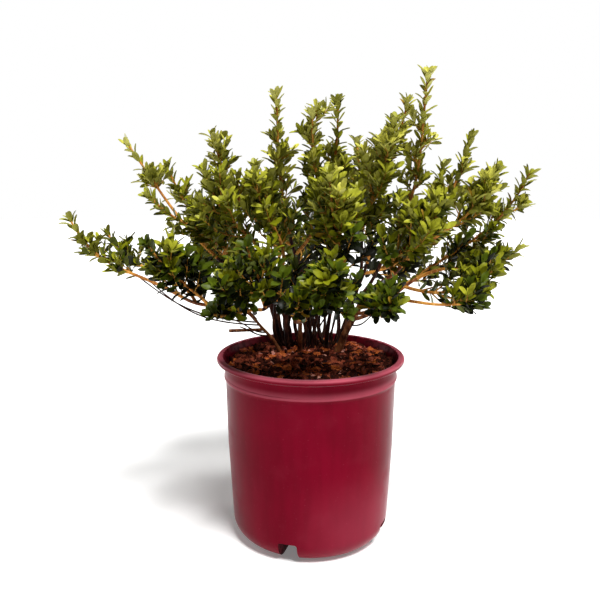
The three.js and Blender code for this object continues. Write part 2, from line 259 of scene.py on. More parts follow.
potShape = {
    "height": 228.6,
    "rimRadius": 114.3,
    "rimInnerRadius": 107.6,
    "lipRound": 3.3,
    "wall": 2.2,
    "footRadius": 71,
    "heelRound": 26,
    "wallMiddle": (102.0, 118.8),
    "wallTop": (103.7, 198),
    "bandFoot": (104.2, 199.8),
    "bandRadius": 105.7,
    "bandBottom": 202,
    "bandTop": 206,
    "bandRound": 1,
    "neckRadius": 104.9,
    "neckTop": 219,
    "groove": [(105.0, 208.6), (104.9, 211), (104.9, 218), (105.4, 219.6)],
    "mouth": [(106.0, 227.1), (106.7, 228.2), (107.6, 228.65), (108.0, 230.6)],   # out past the top
    "turns": 160,
}
drainShape = {
    "bearings": (-16.8, 68.2, 163.2, 248.2),
    "width": 23,
    "height": 25.5,
    "cornerRound": 3,
    "innerRadius": 44,
    "outerRadius": 120,
    "slotWidth": 16,
    "slotDepth": 8,
    "slotRadius": 80,
    "slotRound": 1,
}
soilShape = {
    "crown": 222,
    "crownRadius": 84,
    "edge": 213,
    "gap": 0.3,         # between the mix and the pot
    "unevenTo": 101,    # radius of the bumpy part
    "rise": 2.6,        # of the bumps
    "coarse": 0.055,
    "fine": 0.16,
    "turns": 96,
}


def arc(centreRadius, centreHeight, size, fromAngle, toAngle, count):
    angles = np.radians(np.linspace(fromAngle, toAngle, count))
    return [(centreRadius + size * math.cos(a), centreHeight + size * math.sin(a)) for a in angles]


def turned(name, profile, turns, relief=None):
    # turns a profile of (radius, height) about Z. Its first and last points are on the axis
    points = [(0, 0, profile[0][1])]
    for radius, height in profile[1:-1]:
        for turn in range(turns):
            angle = 2 * math.pi * turn / turns
            point = (radius * math.cos(angle), radius * math.sin(angle), height)
            points.append(relief(point) if relief else point)
    points.append((0, 0, profile[-1][1]))
    faces = []
    last = len(points) - 1
    rings = len(profile) - 2
    for turn in range(turns):
        after = (turn + 1) % turns
        faces.append((0, 1 + after, 1 + turn))
        for ring in range(rings - 1):
            low = 1 + ring * turns
            high = low + turns
            faces.append((low + turn, low + after, high + after, high + turn))
        top = 1 + (rings - 1) * turns
        faces.append((top + turn, top + after, last))
    return meshPiece(name, points, faces)


def insideProfile(clearance):
    inset = potShape["wall"] + clearance
    heel = potShape["heelRound"]
    topRadius, topHeight = potShape["wallTop"]
    profile = [(0, inset), (potShape["footRadius"] / 2, inset)]
    profile += arc(potShape["footRadius"], heel, heel - inset, -90, 0, 14)
    profile.append((topRadius - inset, topHeight))
    return profile


def radialCutter(bearing, width, innerRadius, outerRadius, bottom, top, cornerRound):
    # a block that stands out from the Z axis, its two upper edges rounded
    half = width / 2
    outline = [(-half, bottom), (half, bottom)]
    outline += arc(half - cornerRound, top - cornerRound, cornerRound, 0, 90, 5)
    outline += arc(cornerRound - half, top - cornerRound, cornerRound, 90, 180, 5)
    turn = math.radians(bearing)
    points = []
    for radius in (outerRadius, innerRadius):
        for across, height in outline:
            x = across * math.cos(turn) + radius * math.sin(turn)
            y = across * math.sin(turn) - radius * math.cos(turn)
            points.append((x, y, height))
    count = len(outline)
    faces = [tuple(range(count)), tuple(range(2 * count - 1, count - 1, -1))]
    for i in range(count):
        after = (i + 1) % count
        faces.append((i, i + count, after + count, after))
    return meshPiece("cutter", points, faces)


def drainCutters(grow):
    corner = drainShape["cornerRound"] + grow
    width = drainShape["width"] + 2 * grow
    inner = drainShape["innerRadius"] - grow
    top = drainShape["height"] + grow
    outer = drainShape["outerRadius"]
    bottom = -1     # just below the floor
    return [radialCutter(b, width, inner, outer, bottom, top, corner) for b in drainShape["bearings"]]


def slotCutters():
    half = drainShape["slotDepth"] / 2
    near = drainShape["slotRadius"] - half
    far = drainShape["slotRadius"] + half
    width = drainShape["slotWidth"]
    corner = drainShape["slotRound"]
    bottom = 1      # anywhere within the open recess
    top = drainShape["height"] + 2 * potShape["wall"]
    return [radialCutter(b, width, near, far, bottom, top, corner) for b in drainShape["bearings"]]


def potOutside():
    shape = potShape
    lip = shape["lipRound"]
    edge = shape["bandRound"]
    profile = [(0, 0), (shape["footRadius"] / 2, 0)]
    profile += arc(shape["footRadius"], shape["heelRound"], shape["heelRound"], -90, 0, 16)
    profile += [shape["wallMiddle"], shape["wallTop"], shape["bandFoot"]]
    profile += arc(shape["bandRadius"] - edge, shape["bandBottom"] + edge, edge, -50, 0, 4)
    profile += arc(shape["bandRadius"] - edge, shape["bandTop"] - edge, edge, 0, 60, 4)
    profile += shape["groove"]
    profile += arc(shape["rimRadius"] - lip, shape["height"] - lip, lip, -90, 90, 18)
    profile.append((0, shape["height"]))
    return profile


def potInside():
    profile = insideProfile(0)
    profile.append((potShape["neckRadius"] - potShape["wall"], potShape["neckTop"]))
    profile += potShape["mouth"]
    profile.append((0, profile[-1][1]))
    return profile


def makePot():
    pot = turned("pot_shell", potOutside(), potShape["turns"])
    hollow = turned("hollow", potInside(), potShape["turns"])
    housings = drainCutters(potShape["wall"])
    without(hollow, housings)
    recesses = drainCutters(0) + slotCutters()
    without(pot, [hollow, *recesses])
    dropped([hollow, *housings, *recesses])
    return smoothed(pot, 34)


potColours = {
    "wall": srgb(110, 0, 27),
    "shade": srgb(97, 0, 22),
    # dust specks and smudges, and a painted reflection of the floor low on the right
    "dustAndReflection": srgb(146, 59, 75),
    "wearAndHighlight": srgb(190, 92, 108),     # painted highlight along the lip's top and the ridge's upper edge
    # darker reds for the inside and the recesses at the foot: painted shade
    "inside": (srgb(88, 0, 18), srgb(60, 0, 10)),
}
# Where the plastic takes a painted highlight on the lip and the ridge, and a painted reflection low on the
# right: heights, and for the side of the reflection the way from left to right.
potPaintedLight = {
    "lip": (224.8, 227.5),
    "ridge": (201.8, 203.4),
    "pastRidge": (205.2, 213.5),
    "aboveReflection": (40, 120),
    "reflectionSide": (-40, 60),
}


def potPlastic():
    constants = {"Specular IOR Level": 0.03, "Sheen Weight": 0.31, "Sheen Roughness": 0.24}
    finish = Finish("moulded_burgundy_plastic", constants)
    broad = finish.grain(90, detail=2)
    streak = finish.grain(9, detail=3, stretch=(1, 1, 0.12))
    tone = finish.step(broad * 0.6 + streak * 0.4, 0.35, 0.65)
    colour = finish.blend(tone, potColours["shade"], potColours["wall"])
    specks = finish.step(finish.grain(2.2, detail=2), 0.69, 0.76)
    smudge = finish.step(finish.grain(26, detail=4, shift=(3, 1, 2)), 0.5, 0.75)
    height = finish.axis(2)
    # a painted reflection of the floor, low on the pot and towards its right
    lowReflection = 1 - finish.past(height, potPaintedLight["aboveReflection"])
    lowReflection *= finish.past(finish.axis(0), potPaintedLight["reflectionSide"])
    dustedAndReflected = specks * 0.3 + smudge * 0.05 + lowReflection * (0.15 + 0.3 * broad)
    colour = finish.blend(dustedAndReflected, colour, potColours["dustAndReflection"])
    # painted highlights: a pale band on the lip's top and on the ridge's upper edge
    lipHighlight = finish.past(height, potPaintedLight["lip"])
    ridgeHighlight = finish.past(height, potPaintedLight["ridge"]) - finish.past(height, potPaintedLight["pastRidge"])
    wearAndHighlight = (0.75 * lipHighlight + 0.5 * ridgeHighlight) * (0.5 + 0.8 * broad)
    finish.feed("Base Color", finish.blend(wearAndHighlight, colour, potColours["wearAndHighlight"]))
    finish.feed("Roughness", 0.33 + 0.14 * smudge + 0.05 * streak)
    pebble = finish.bump(finish.grain(0.9, detail=1), 0.02)
    finish.feed("Normal", finish.bump(finish.grain(40, detail=1), 0.25, pebble))
    return finish.material


def shadedInnerPlastic():
    # darker plastic for the pot's inside and the recesses at the foot: painted shade
    finish = Finish("damp_inner_plastic", {"Specular IOR Level": 0.1})
    splash = finish.step(finish.grain(7, detail=4), 0.42, 0.66)
    finish.feed("Base Color", finish.blend(splash, *potColours["inside"]))
    finish.feed("Roughness", 0.5 + 0.2 * splash)
    return finish.material


def heelSkin(height):
    # the radius of the rounded heel at this height
    heel = potShape["heelRound"]
    return potShape["footRadius"] + math.sqrt(heel ** 2 - (heel - height) ** 2)


def lineWith(piece, material):
    # a second, darker material for painted shade on the faces that look in at the Z axis, and in the
    # recesses at the foot
    piece.data.materials.append(material)
    mouth = potShape["rimInnerRadius"] - 0.5    # the rim's own inner edge keeps the outer finish
    for face in piece.data.polygons:
        x, y, z = face.center / mm
        reach = math.hypot(x, y)
        inwards = -(face.normal.x * x + face.normal.y * y) / reach
        inRecess = 0.5 < z < potShape["heelRound"] and reach < heelSkin(z) - 1
        if inRecess or (inwards > 0.3 and reach < mouth):
            face.material_index = 1


pot = makePot()
pot.data.materials.append(potPlastic())
lineWith(pot, shadedInnerPlastic())
handOver(pot, ["pot"])
print("pot made:", len(pot.data.polygons), "faces")


# The mix: a low uneven mound that fills the pot, with bark chips scattered over it.

chipShape = {
    "reach": 97,                    # how far from the pot's middle
    "perPiece": {"dark": 760, "brown": 560, "rust": 160, "tan": 110},
    "length": (4.5, 17.0),
    "shorter": {"tan": 0.7},        # the longest of these, as a share of the others'
    "sides": (1.0, 0.58, 0.3),      # length, width and thickness, for a length of 1
    "tilt": (0.55, 0.45),           # most that a chip leans, in radians
    "breakScale": 210.0,            # how fine its broken edges are, and how deep
    "breakDepth": 0.009,
    "seed": 7,
}


def moundRelief(point):
    x, y, z = point
    if z < soilShape["edge"] - 0.5 or math.hypot(x, y) > soilShape["unevenTo"]:
        return point
    coarse = noise.noise(Vector((x * soilShape["coarse"], y * soilShape["coarse"], 0.3)))
    fine = noise.noise(Vector((x * soilShape["fine"], y * soilShape["fine"], 4.2)))
    return (x, y, z + soilShape["rise"] * (coarse + 0.5 * fine - 0.35))


def makeMound():
    gap = soilShape["gap"]
    crown = soilShape["crown"]
    crownRadius = soilShape["crownRadius"]
    profile = insideProfile(gap)
    topRadius = potShape["neckRadius"] - potShape["wall"] - 2 * gap
    profile.append((topRadius, soilShape["edge"]))
    drop = crown - soilShape["edge"]
    for radius in np.linspace(topRadius, crownRadius, 7)[1:]:
        share = (topRadius - radius) / (topRadius - crownRadius)
        profile.append((radius, soilShape["edge"] + drop * math.sin(share * math.pi / 2)))
    profile += [(radius, crown) for radius in np.linspace(crownRadius, 4, 22)[1:]]
    profile.append((0, crown - 1))
    mound = turned("mix_mound", profile, soilShape["turns"], moundRelief)
    housings = drainCutters(potShape["wall"] + gap)
    without(mound, housings)
    dropped(housings)
    return smoothed(mound, 60)


def mixFinish(name, low, high, fleck):
    finish = Finish(name, {"Specular IOR Level": 0.06})
    tone = finish.step(finish.grain(5, detail=4), 0.36, 0.66)
    colour = finish.blend(tone, low, high)
    wearAndHighlight = finish.step(finish.grain(1.6, detail=3, stretch=(1, 1, 2.5)), 0.58, 0.72)
    finish.feed("Base Color", finish.blend(wearAndHighlight * 0.6, colour, fleck))
    finish.feed("Roughness", 0.78 + 0.18 * tone)
    finish.feed("Normal", finish.bump(finish.grain(1.1, detail=4), 0.5))
    return finish.material


mixColours = {
    "ground": (srgb(12, 2, 1), srgb(36, 10, 6), srgb(92, 42, 30)),
    "dark": (srgb(18, 4, 3), srgb(74, 31, 21), srgb(142, 76, 56)),
    "brown": (srgb(96, 38, 26), srgb(170, 86, 60), srgb(218, 142, 116)),
    "rust": (srgb(146, 66, 28), srgb(210, 112, 54), srgb(238, 176, 126)),
    "tan": (srgb(190, 120, 104), srgb(230, 166, 148), srgb(244, 206, 192)),
}


def chipTree():
    lengths = {"Shortest": "Float", "Longest": "Float"}
    tree = NodeTree("bark_chips", {"Density": "Float", **lengths, "Seed": "Int", "Material": "Material"})
    seed = tree.given("Seed")
    sockets = {"Mesh": tree.given("Geometry"), "Density": tree.given("Density"), "Seed": seed}
    points = tree.value("GeometryNodeDistributePointsOnFaces", None, sockets)
    sockets = {"Size": chipShape["sides"], "Vertices X": 4, "Vertices Y": 3, "Vertices Z": 2}
    chip = tree.value("GeometryNodeMeshCube", None, sockets)
    leanX, leanY = chipShape["tilt"]
    sockets = {0: (-leanX, -leanY, 0.0), 1: (leanX, leanY, 2 * math.pi), "Seed": seed}
    turn = tree.value("FunctionNodeRandomValue", {"data_type": "FLOAT_VECTOR"}, sockets)
    sockets = {2: tree.given("Shortest"), 3: tree.given("Longest"), "Seed": seed}
    size = tree.value("FunctionNodeRandomValue", {"data_type": "FLOAT"}, sockets, output=1)
    sockets = {"Points": points, "Instance": chip, "Rotation": turn, "Scale": size}
    laid = tree.value("GeometryNodeInstanceOnPoints", None, sockets)
    real = tree.value("GeometryNodeRealizeInstances", None, {"Geometry": laid})
    sockets = {"Scale": chipShape["breakScale"], "Detail": 1.0}
    wobble = tree.value("ShaderNodeTexNoise", None, sockets, output=1)
    centred = tree.value("ShaderNodeVectorMath", {"operation": "SUBTRACT"}, {0: wobble, 1: (0.5, 0.5, 0.5)})
    sockets = {0: centred, "Scale": chipShape["breakDepth"]}
    push = tree.value("ShaderNodeVectorMath", {"operation": "SCALE"}, sockets)
    tree.close(tree.value("GeometryNodeSetPosition", None, {"Geometry": real, "Offset": push}))
    return tree


def topOfMound(name, mound, reach):
    # the faces of the mound that look up, within this radius
    points = [tuple(vertex.co / mm) for vertex in mound.data.vertices]
    faces = []
    for face in mound.data.polygons:
        x, y, z = face.center / mm
        if face.normal.z > 0.5 and z > soilShape["edge"] - 4 and math.hypot(x, y) < reach:
            faces.append(tuple(face.vertices))
    return meshPiece(name, points, faces)


def makeChips(mound):
    tree = chipTree()
    shortest, longest = chipShape["length"]
    area = math.pi * (chipShape["reach"] * mm) ** 2
    for order, (kind, count) in enumerate(chipShape["perPiece"].items()):
        chips = topOfMound("chips_" + kind, mound, chipShape["reach"])
        finish = mixFinish(kind + "_bark_chips", *mixColours[kind])
        values = {
            "Density": count / area,
            "Shortest": shortest * mm,
            "Longest": longest * mm * chipShape["shorter"].get(kind, 1),
            "Seed": chipShape["seed"] + order,
            "Material": finish,
        }
        tree.applyTo(chips, values)
        handOver(smoothed(chips, 30), ["soil"])
        print(chips.name, "made:", len(chips.data.polygons), "faces")


mound = makeMound()
mound.data.materials.append(mixFinish("dark_potting_mix", *mixColours["ground"]))
makeChips(mound)
handOver(mound, ["soil"])


# The shrub's plan. A shoot is where its topmost leaf tip stands: name, bearing, reach, height.
# A bough is bare for a share of the way to its shoots.

stemPlan = [
    {
        "name": "left_outer", "foot": (-38, 30), "fork": (-68, 18, 267), "radius": 2.3, "bark": "warm",
        "stub": {"at": 0.72, "end": (-97, -15, 261), "radius": 1.9},
        "boughs": [
            ("far_left", 0.5, [("far_left_tip", -90, 288, 399), ("far_left_low", -101, 262, 377),
                               ("left_front", -60, 204, 380)]),
        ],
    },
    {
        "name": "left_middle", "foot": (-27, 46), "fork": (-36, 26, 286), "radius": 2.0, "bark": "dark",
        "boughs": [
            ("left_low", 0.36, [("left_low", -43, 160, 304), ("front_low_left", -33, 165, 350)]),
        ],
    },
    {
        "name": "left_inner", "foot": (-38, 66), "fork": (-54, 72, 290), "radius": 4.6, "bark": "dark",
        "boughs": [
            ("left_middle", 0.42, [("left_high", -95, 222, 486), ("left_middle", -78, 190, 427)]),
            ("left_back", 0.4, [("left_rear", -108, 191, 459), ("rear_left_low", -141, 238, 370)]),
            ("rear_left", 0.42, [("rear_left", -152, 159, 462), ("rear_low", 178, 238, 365)]),
        ],
    },
    {
        "name": "centre_front", "foot": (-13, 32), "fork": (-12, 6, 276), "radius": 2.9, "bark": "warm",
        "boughs": [
            ("left_top", 0.42, [("upper_left", -63, 133, 457), ("upper_left_inner", -52, 81, 451)]),
            ("front_left", 0.36, [("front_left", -24, 164, 385), ("front_foot", -6, 126, 322)]),
        ],
    },
    {
        "name": "centre", "foot": (2, 58), "fork": (-6, 50, 296), "radius": 2.4, "bark": "dark",
        "boughs": [
            ("top_left", 0.42, [("top_left", -104, 42, 542), ("high_left", -109, 127, 491),
                                ("top_centre", 3, 31, 522)]),
        ],
    },
    {
        "name": "centre_right", "foot": (20, 42), "fork": (26, 16, 290), "radius": 3.0, "bark": "dark",
        "boughs": [
            ("front", 0.36, [("front_centre", 8, 121, 455), ("front_low", 4, 160, 352),
                             ("upper_front", 60, 104, 511)]),
        ],
    },
    {
        "name": "right_front", "foot": (35, 24), "fork": (60, 0, 290), "radius": 4.5, "bark": "warm",
        "boughs": [
            ("right_front", 0.42, [("right_front", 72, 213, 457), ("front_right", 51, 158, 416)]),
            ("right_low", 0.42, [("right_low", 57, 210, 321), ("front_right_low", 32, 154, 321)]),
            ("right_outer", 0.4, [("right_outer", 91, 254, 363), ("right_outer_front", 70, 219, 350),
                                  ("far_right", 90, 258, 454)]),
        ],
    },
    {
        "name": "right_inner", "foot": (38, 62), "fork": (60, 68, 292), "radius": 3.3, "bark": "dark",
        "boughs": [
            ("right_top", 0.42, [("top_right", 109, 124, 538), ("top_centre_rear", 140, 48, 537)]),
            ("right_middle", 0.4, [("tallest", 81, 132, 566), ("right_high", 93, 190, 495),
                                   ("right_rear", 110, 179, 461)]),
            ("rear_right", 0.42, [("rear_right", 157, 165, 492), ("rear_right_low", 139, 238, 372)]),
        ],
    },
]

branching = {
    "stemLift": 0.5,        # how much more upright a stem leaves the mix than it goes on
    "boughSpacing": 0.14,   # between two boughs, as a share of their stem
    "shootSpacing": 0.16,   # between two shoots, as a share of their bough
    "spread": 0.9,          # how far a limb on its parent's side turns outwards
    "boughSag": 0.18,       # below the straight way, as a share of its length; some boughs differ
    "boughSags": {"far_left": 0.26, "right_low": -0.12, "right_front": 0.12, "right_outer": -0.06},
    "leaderLift": 1.1,      # how far a limb turns up towards its end; some leaders differ
    "leaderLifts": {"left_high": 0.1, "left_middle": 0.2, "left_rear": 0.4, "left_front": 0.3},
    "leastLift": 0.15,
    "levelBelow": (290, 110),   # a leader turns up less, the less its top stands above this height
    "tipLeaf": 8,               # from a leader's end to its topmost leaf tip
    "twigLift": 0.95,
    "curl": 0.44,
    "forkShare": 0.74,          # of a stem's radius, left at its fork
    "flareExtra": 0.45,
    "flareHeight": 1 / 6,       # of a stem
}
woodRadii = {
    "bough": (2.5, 2.0),
    "leader": (2.2, 1.2),
    "twig": (1.05, 0.6),
    "sprig": (0.7, 0.45),
    "wand": (2.1, 1.2),
    "thin": (1.0, 0.7),
}
# Young bare shoots that crowd between the stems and go up into the leaves.
wandPlan = {
    "count": 36,
    "middle": (0, 52),
    "spread": (36, 18),     # of the feet
    "sunk": 1,              # the feet, into the mix
    "turn": 0.8,            # what chance adds to a foot's bearing, in radians
    "outward": (1.1, 2.2),  # how much further out the tops stand
    "cross": 26,            # how far chance moves a top sideways
    "top": 314,
    "uneven": 20,
    "bend": 1.5,            # at the foot, and at the top
    "topBend": 30,
    "thickness": (0.45, 0.85),
    "seed": 4,
}
# Thin bare side shoots: the stem that each leaves, how far up it, its far end, what it turns up.
thinShoots = [
    ("left_outer", 0.62, (-90, -5, 271), 0.0),
    ("left_outer", 0.5, (-85, -8, 264), 0.0),
    ("left_outer", 0.86, (-193, 0, 318), 0.5),
    ("left_outer", 0.94, (-214, 12, 326), 0.4),
    ("right_front", 0.6, (77, -62, 299), 0.1),
]
# Pairs such as lean are the least value and what chance adds to it.
growth = {
    "twigs": 11,
    "twigLength": 66,
    "sprigsPerTwig": 2,
    "sprigFrom": 0.2,
    "sprigTo": 0.7,
    "sprigLength": 24,
    "lengths": (0.7, 0.5),
    "shorter": 0.82,        # what a side twig near the far end loses of its length
    "lean": (0.45, 0.35),   # angle between a twig and its parent
    "leafSpacing": 2.65,    # of wood for each leaf
    "leafyShare": 0.92,
    "crowding": 1.5,        # of the leaves towards a twig's end
    "lastLeaf": 0.985,
    "splay": (0.3, 0.4),    # angle between a leaf and its twig
    "splayBack": 0.3,       # what it gains towards the twig's root
    "splayChance": 0.25,
    "leafTurn": 0.6,        # what chance adds to a leaf's way round the twig
    "leafSize": (0.82, 0.3),
    "heartLeaves": 2,       # small upright ones at a twig's very end
    "heartPlace": 0.99,
    "heartTurn": 2.1,
    "heartSplay": (0.12, 0.2),
    "heartSize": (0.55, 0.3),
    "leafMargin": -7,       # below 0: this far past the middle between two leaders
    "twigMargin": -4,
    "limbClearance": 1.2,
    "lowest": 290,
    "seed": 20,
}
# How bushy a shoot is, how far along its leader twigs and leaves begin, and where twigs end.
commonHabit = (1.2, 0.05, 0.78)
habits = {
    "far_left_tip": (0.35, 0.3, 0.85),
    "far_left_low": (0.3, 0.5, 0.85),
    "left_low": (0.8, 0.15, 0.8),
    "left_front": (1.0, 0.05, 0.75),
    "front_low_left": (1.35, 0.03, 0.85),
    "left_high": (0.3, 0.66, 0.7),
    "left_middle": (1.0, 0.03, 0.5),
    "left_rear": (0.6, 0.1, 0.8),
    "high_left": (0.75, 0.4, 0.98),
    "top_left": (0.45, 0.15, 0.7),
    "top_centre": (0.95, 0.05, 0.95),
    "top_centre_rear": (0.85, 0.05, 0.65),
    "top_right": (0.6, 0.1, 0.78),
    "tallest": (0.45, 0.12, 0.7),
    "right_high": (0.6, 0.15, 0.78),
    "right_rear": (0.7, 0.2, 0.8),
    "right_front": (0.8, 0.45, 0.85),
    "far_right": (1.0, 0.1, 0.8),
    "right_low": (0.45, 0.75, 0.98),
    "front_right_low": (0.8, 0.2, 0.95),
    "front_low": (1.4, 0.03, 0.85),
    "upper_front": (1.3, 0.03, 0.8),
    "upper_left_inner": (1.35, 0.03, 0.8),
    "right_outer": (0.4, 0.3, 0.85),
    "right_outer_front": (1.15, 0.12, 0.85),
    "front_foot": (0.8, 0.3, 0.9),
    "front_right": (1.5, 0.03, 0.88),
    "rear_low": (1.5, 0.03, 0.85),
    "rear_right_low": (1.55, 0.03, 0.88),
    "rear_left_low": (1.4, 0.03, 0.85),
}
leafShape = {
    "length": 16.6,
    "width": 7.4,
    "thickness": 0.3,
    "fold": 0.3,            # rise of the edges, as a share of their distance from the midrib
    "fullPart": 1.4,        # higher: widest nearer the tip
    "fullness": 0.58,       # lower: rounder
    "curls": (-0.3, 0.15, 0.5),  # how far each kind of blade bends down towards its tip, in radians
}
leafAttributes = {"direction": "FLOAT_VECTOR", "upper": "FLOAT_VECTOR", "size": "FLOAT", "blade": "INT"}


def unit(vector):
    return vector / np.linalg.norm(vector)


def turnedUp(direction, lift):
    return unit(unit(direction) + lift * zAxis)


def chance(pair, rand):
    return pair[0] + pair[1] * rand.random()


class Limb:
    # a tapering curve that leaves and arrives along given directions
    def __init__(self, start, leave, end, arrive, radii):
        handle = np.linalg.norm(end - start) * branching["curl"]
        self.controls = np.array([start, start + leave * handle, end - arrive * handle, end])
        self.radii = radii
        self.length = float(np.linalg.norm(end - start))
        self.line = self.points(7)
        self.flares = False

    def points(self, count):
        return self.point(np.linspace(0, 1, count)[:, None])

    def point(self, t):
        a, b, c, d = self.controls
        return a * (1 - t) ** 3 + 3 * b * t * (1 - t) ** 2 + 3 * c * t ** 2 * (1 - t) + d * t ** 3

    def tangent(self, t):
        a, b, c, d = self.controls
        return unit((b - a) * (1 - t) ** 2 + 2 * (c - b) * t * (1 - t) + (d - c) * t ** 2)

    def radiusAt(self, t):
        radius = self.radii[0] + (self.radii[1] - self.radii[0]) * t
        if self.flares:
            radius *= 1 + branching["flareExtra"] * max(0, 1 - t / branching["flareHeight"]) ** 2
        return radius


def topOf(shoot):
    bearing, reach, height = shoot[1:]
    angle = math.radians(bearing)
    return np.array([reach * math.sin(angle), -reach * math.cos(angle), float(height)])


def growStem(plan):
    start = np.array([*plan["foot"], soilShape["crown"] + soilShape["gap"]], float)
    end = np.array(plan["fork"], float)
    arrive = unit(end - start)
    radii = (plan["radius"], plan["radius"] * branching["forkShare"])
    stem = Limb(start, turnedUp(arrive, branching["stemLift"]), end, arrive, radii)
    stem.flares = True
    return stem


def growFrom(parent, order, spacing, towards):
    # where a limb starts on its parent, and the way it leaves
    t = 1 - order * spacing
    start = parent.point(t)
    leave = parent.tangent(t)
    if order == 0:
        return start, leave
    outward = towards - start
    outward = unit(outward - leave * outward.dot(leave))
    leave = unit(leave * (1 - branching["spread"] / 2) + outward * branching["spread"])
    return start, leave


def growBough(stem, order, name, bareShare, shoots):
    middle = np.mean([topOf(shoot) for shoot in shoots], axis=0)
    start, leave = growFrom(stem, order, branching["boughSpacing"], middle)
    end = start + (middle - start) * bareShare
    end[2] -= branching["boughSags"].get(name, branching["boughSag"]) * np.linalg.norm(end - start)
    return Limb(start, leave, end, unit(middle - start), woodRadii["bough"])


def growLeader(bough, order, shoot):
    top = topOf(shoot)
    start, leave = growFrom(bough, order, branching["shootSpacing"], top)
    low, over = branching["levelBelow"]
    lift = branching["leaderLifts"].get(shoot[0], branching["leaderLift"])
    arrive = turnedUp(top - start, lift * min(1, max(branching["leastLift"], (top[2] - low) / over)))
    end = top - arrive * branching["tipLeaf"]
    return Limb(start, leave, end, arrive, woodRadii["leader"])


def growStub(stem, plan):
    start = stem.point(plan["at"])
    end = np.array(plan["end"], float)
    along = unit(end - start)
    return Limb(start, along, end, along, (plan["radius"], plan["radius"]))


def growWands():
    # each stands on the mix and leans outwards
    rand = random.Random(wandPlan["seed"])
    middle = np.array(wandPlan["middle"], float)
    bend = wandPlan["bend"]
    topBend = wandPlan["topBend"]
    wands = []
    for order in range(wandPlan["count"]):
        out = math.sqrt((order + 0.5) / wandPlan["count"])
        angle = order * goldenTurn + wandPlan["turn"] * rand.random()
        foot = np.array([math.cos(angle), math.sin(angle)]) * wandPlan["spread"] * out
        far = foot * rand.uniform(*wandPlan["outward"])
        far += np.array([rand.uniform(-1, 1), rand.uniform(-0.5, 0.5)]) * wandPlan["cross"]
        height = wandPlan["top"] + wandPlan["uneven"] * (rand.random() - 0.5)
        start = np.array([*(middle + foot), soilShape["crown"] - wandPlan["sunk"]])
        end = np.array([*(middle + far), height])
        leave = np.array([bend * (rand.random() - 0.5), bend * (rand.random() - 0.5), 1.0])
        arrive = end - start + (topBend * (rand.random() - 0.5), topBend * (rand.random() - 0.5), 0)
        thickness = chance(wandPlan["thickness"], rand)
        radii = tuple(radius * thickness for radius in woodRadii["wand"])
        wands.append(Limb(start, unit(leave), end, unit(arrive), radii))
    return wands


def growThinShoot(stem, at, end, lift):
    start = stem.point(at)
    way = np.array(end, float) - start
    leave = unit(way * (1, 1, 0.2))     # nearly level
    return Limb(start, leave, start + way, turnedUp(way, lift), woodRadii["thin"])


def growPlan():
    # bare: the pruned stub, and the young shoots that no foliage hides
    limbs = []
    leaders = []
    bare = [{"name": "stem_wand", "limb": wand, "bark": "dark"} for wand in growWands()]
    for plan in stemPlan:
        stem = growStem(plan)
        limbs.append({"name": "stem_" + plan["name"], "limb": stem, "bark": plan["bark"]})
        if "stub" in plan:
            bare.append({"name": "stub", "limb": growStub(stem, plan["stub"]), "bark": plan["bark"]})
        for stemName, *how in thinShoots:
            if stemName == plan["name"]:
                bare.append({"name": "thin", "limb": growThinShoot(stem, *how), "bark": "dark"})
        for boughOrder, (name, bareShare, shoots) in enumerate(plan["boughs"]):
            bough = growBough(stem, boughOrder, name, bareShare, shoots)
            limbs.append({"name": "bough_" + name, "limb": bough, "bark": plan["bark"]})
            for shootOrder, shoot in enumerate(shoots):
                leader = growLeader(bough, shootOrder, shoot)
                leaders.append({"name": "foliage_" + shoot[0], "limb": leader})
    return limbs, bare, leaders


limbs, bareShoots, leaders = growPlan()
print("plan grown:", len(limbs), "limbs,", len(leaders), "leaders")


# Old wood: ridged skins along the stems and boughs, with a knot now and then.

barkRelief = {
    "sides": 14,
    "step": 2.2,        # between two rings
    "lumps": {"rise": 0.16, "around": 1.4, "along": 0.06, "seed": 3.1},
    "ridges": {"rise": 0.09, "around": 3.2, "along": 0.03, "seed": 5.7},
    "knots": {"every": 19, "at": 6, "length": 3, "rise": 0.2},
    "sunk": {"stem": 2.5, "other": 0.2},    # the closed end, into the mix or into the parent
}
sideways = np.array([1.0, 0.3, 0.0])    # the way from which angles round a limb are counted


def squareTo(along, across):
    return unit(across - along * across.dot(along))


def barkRise(kind, angle, run, seed):
    relief = barkRelief[kind]
    around = relief["around"]
    along = run * relief["along"] + seed * relief["seed"]
    return relief["rise"] * noise.noise(Vector((math.cos(angle) * around, math.sin(angle) * around, along)))


def knotRise(run, seed):
    knots = barkRelief["knots"]
    past = (run + seed * 7) % knots["every"] - knots["at"]
    knot = math.exp(-past ** 2 / knots["length"])
    return knots["rise"] * knot * (0.4 + 0.6 * noise.noise((seed, run * 0.05, 0)))


